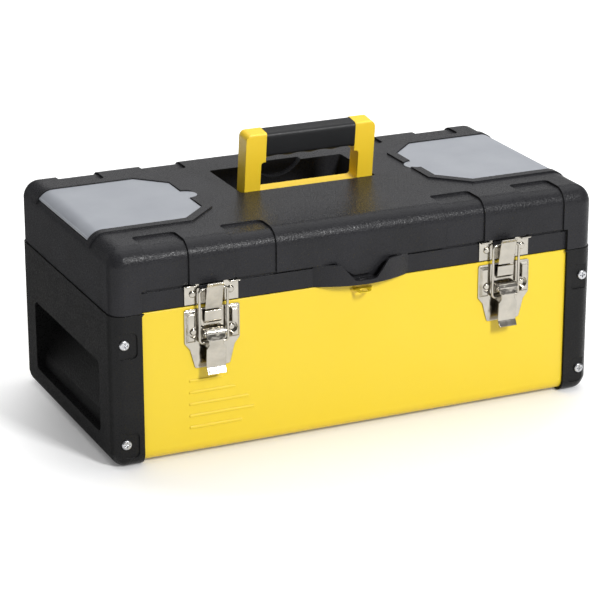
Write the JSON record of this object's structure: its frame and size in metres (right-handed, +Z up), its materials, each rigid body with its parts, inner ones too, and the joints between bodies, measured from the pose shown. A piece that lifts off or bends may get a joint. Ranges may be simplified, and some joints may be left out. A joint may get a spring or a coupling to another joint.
{
  "type": "tool box",
  "caption": "Tool box with a steel body, moulded end caps, hinged lid with draw latches, fold-down handle, lidded organiser bins and a lift-out tray.",
  "frame": {"origin": "on the surface the box stands on, under the middle of the whole object", "axes": "+X along the length, -Y the front with the latches, +Z up"},
  "size_m": [0.48, 0.262, 0.2601],
  "materials": {
    "lid_plastic": "fine moulded grain, half-matt black",
    "cap_plastic": "fine moulded grain, half-matt black",
    "tray_plastic": "plain moulded black",
    "body_paint": "smooth yellow powder coat on sheet steel",
    "handle_plastic": "smooth yellow moulded plastic",
    "grip_rubber": "soft black grip",
    "cover_plastic": "frosted clear plastic",
    "latch_nickel": "bright nickel plate on pressed steel",
    "fastener_zinc": "bright zinc plate",
    "hinge_zinc": "zinc plated steel"
  },
  "bodies": {
    "base": {"body_sheet": "body_paint", "padlock_eye": "body_paint", "left_end_cap": "cap_plastic", "right_end_cap": "cap_plastic", "end_cap_screws": "fastener_zinc", "tool_tray": "tray_plastic", "left_hinge_body_leaf": "hinge_zinc", "right_hinge_body_leaf": "hinge_zinc", "hinge_pins": "hinge_zinc", "hinge_body_rivets": "fastener_zinc", "left_latch_base": "latch_nickel", "right_latch_base": "latch_nickel", "latch_base_rivets": "latch_nickel", "latch_pivot_pins": "latch_nickel"},
    "lid": {"lid_shell": "lid_plastic", "left_keeper": "latch_nickel", "right_keeper": "latch_nickel", "keeper_rivets": "latch_nickel", "left_hinge_lid_leaf": "hinge_zinc", "right_hinge_lid_leaf": "hinge_zinc", "hinge_lid_rivets": "fastener_zinc", "handle_pivot_pins": "fastener_zinc"},
    "handle": {"handle_frame": "handle_plastic", "handle_grip": "grip_rubber"},
    "left_cover": {"left_cover": "cover_plastic"},
    "right_cover": {"right_cover": "cover_plastic"},
    "left_lever": {"left_latch_lever": "latch_nickel"},
    "right_lever": {"right_latch_lever": "latch_nickel"},
    "left_bail": {"left_latch_bail": "latch_nickel"},
    "right_bail": {"right_latch_bail": "latch_nickel"}
  },
  "joints": [
    {"name": "lid_hinge", "type": "hinge", "parent": "base", "child": "lid", "pos_m": [0, 0.12805, 0.1435], "axis": [-1, 0, 0], "range_deg": [0, 105]},
    {"name": "handle_pivot", "type": "hinge", "parent": "lid", "child": "handle", "pos_m": [0, 0.00563, 0.1936], "axis": [-1, 0, 0], "range_deg": [0, 97]},
    {"name": "left_cover_hinge", "type": "hinge", "parent": "lid", "child": "left_cover", "pos_m": [-0.23538, 0.00995, 0.19569], "axis": [0, -1, 0], "range_deg": [0, 105]},
    {"name": "right_cover_hinge", "type": "hinge", "parent": "lid", "child": "right_cover", "pos_m": [0.23538, 0.00995, 0.19569], "axis": [0, 1, 0], "range_deg": [0, 105]},
    {"name": "left_lever_pivot", "type": "hinge", "parent": "base", "child": "left_lever", "pos_m": [-0.1455, -0.12375, 0.118], "axis": [-1, 0, 0], "range_deg": [0, 100]},
    {"name": "right_lever_pivot", "type": "hinge", "parent": "base", "child": "right_lever", "pos_m": [0.1455, -0.12375, 0.118], "axis": [-1, 0, 0], "range_deg": [0, 100]},
    {"name": "left_bail_pivot", "type": "hinge", "parent": "left_lever", "child": "left_bail", "pos_m": [-0.1455, -0.12245, 0.109], "axis": [-1, 0, 0], "range_deg": [-90, 0]},
    {"name": "right_bail_pivot", "type": "hinge", "parent": "right_lever", "child": "right_bail", "pos_m": [0.1455, -0.12245, 0.109], "axis": [-1, 0, 0], "range_deg": [-90, 0]}
  ],
  "couplings": [
    {"joint": "left_bail_pivot", "follows": "left_lever_pivot", "ratio": -0.875},
    {"joint": "right_bail_pivot", "follows": "right_lever_pivot", "ratio": -0.875}
  ]
}
